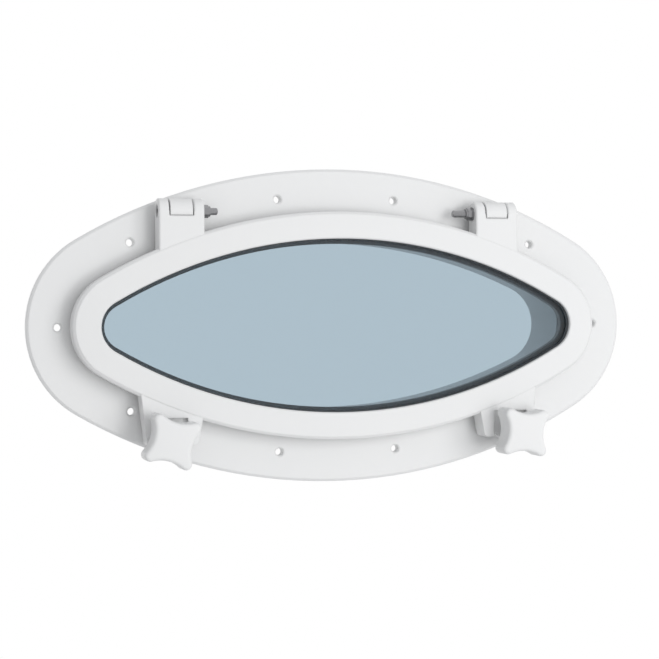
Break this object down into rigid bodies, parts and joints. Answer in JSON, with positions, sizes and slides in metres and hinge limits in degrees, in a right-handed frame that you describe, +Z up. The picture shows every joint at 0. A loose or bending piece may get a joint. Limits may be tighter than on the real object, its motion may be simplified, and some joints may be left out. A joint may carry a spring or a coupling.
{
  "type": "oval opening portlight",
  "caption": "White moulded oval opening portlight: a screw flange with a tunnel, a hinged lid with a tinted pane, a gasket and star knobs that screw it shut.",
  "frame": {"origin": "centre of the flange's back face, where the tunnel leaves it", "axes": "+X to the right along the flange's length as seen from the cabin, +Y into the wall along the tunnel, +Z up towards the hinges"},
  "size_m": [0.45, 0.0935, 0.228],
  "materials": {
    "white_plastic": "white moulded plastic, satin gloss",
    "tinted_glass": "polished, light blue-grey tint",
    "black_rubber": "matt",
    "black_plastic": "matt moulded",
    "stainless_steel": "turned stainless steel",
    "brass": "machined"
  },
  "bodies": {
    "base": {"base_frame": "white_plastic", "threaded_insert_left": "brass", "threaded_insert_right": "brass"},
    "lid": {"lid_frame": "white_plastic", "window_pane": "tinted_glass", "glass_seal": "black_rubber", "glass_retaining_ring": "black_plastic", "retaining_ring_screws": "stainless_steel", "main_gasket": "black_rubber", "hinge_bolt_left": "stainless_steel", "hinge_washer_left": "stainless_steel", "hinge_nut_left": "stainless_steel", "hinge_bolt_right": "stainless_steel", "hinge_washer_right": "stainless_steel", "hinge_nut_right": "stainless_steel"},
    "left_washer": {"knob_washer_left": "stainless_steel"},
    "left_knob": {"knob_left": "white_plastic", "knob_stud_left": "stainless_steel", "stud_clip_left": "stainless_steel"},
    "right_washer": {"knob_washer_right": "stainless_steel"},
    "right_knob": {"knob_right": "white_plastic", "knob_stud_right": "stainless_steel", "stud_clip_right": "stainless_steel"}
  },
  "joints": [
    {"name": "lid_hinge", "type": "hinge", "parent": "base", "child": "lid", "pos_m": [0, -0.018, 0.0815], "axis": [-1, 0, 0], "range_deg": [0, 165]},
    {"name": "left_knob_travel", "type": "slide", "parent": "lid", "child": "left_washer", "axis": [0, -1, 0], "range_m": [-0.007, 0]},
    {"name": "left_knob_turn", "type": "hinge", "parent": "left_washer", "child": "left_knob", "pos_m": [-0.1302, -0.04, -0.0789], "axis": [0, -1, 0], "range_deg": [-2015, 0]},
    {"name": "right_knob_travel", "type": "slide", "parent": "lid", "child": "right_washer", "axis": [0, -1, 0], "range_m": [-0.007, 0]},
    {"name": "right_knob_turn", "type": "hinge", "parent": "right_washer", "child": "right_knob", "pos_m": [0.1302, -0.04, -0.0789], "axis": [0, -1, 0], "range_deg": [-2015, 0]}
  ],
  "couplings": [
    {"joint": "left_knob_travel", "follows": "left_knob_turn", "m_per_rad": 0.00019894},
    {"joint": "right_knob_travel", "follows": "right_knob_turn", "m_per_rad": 0.00019894}
  ]
}
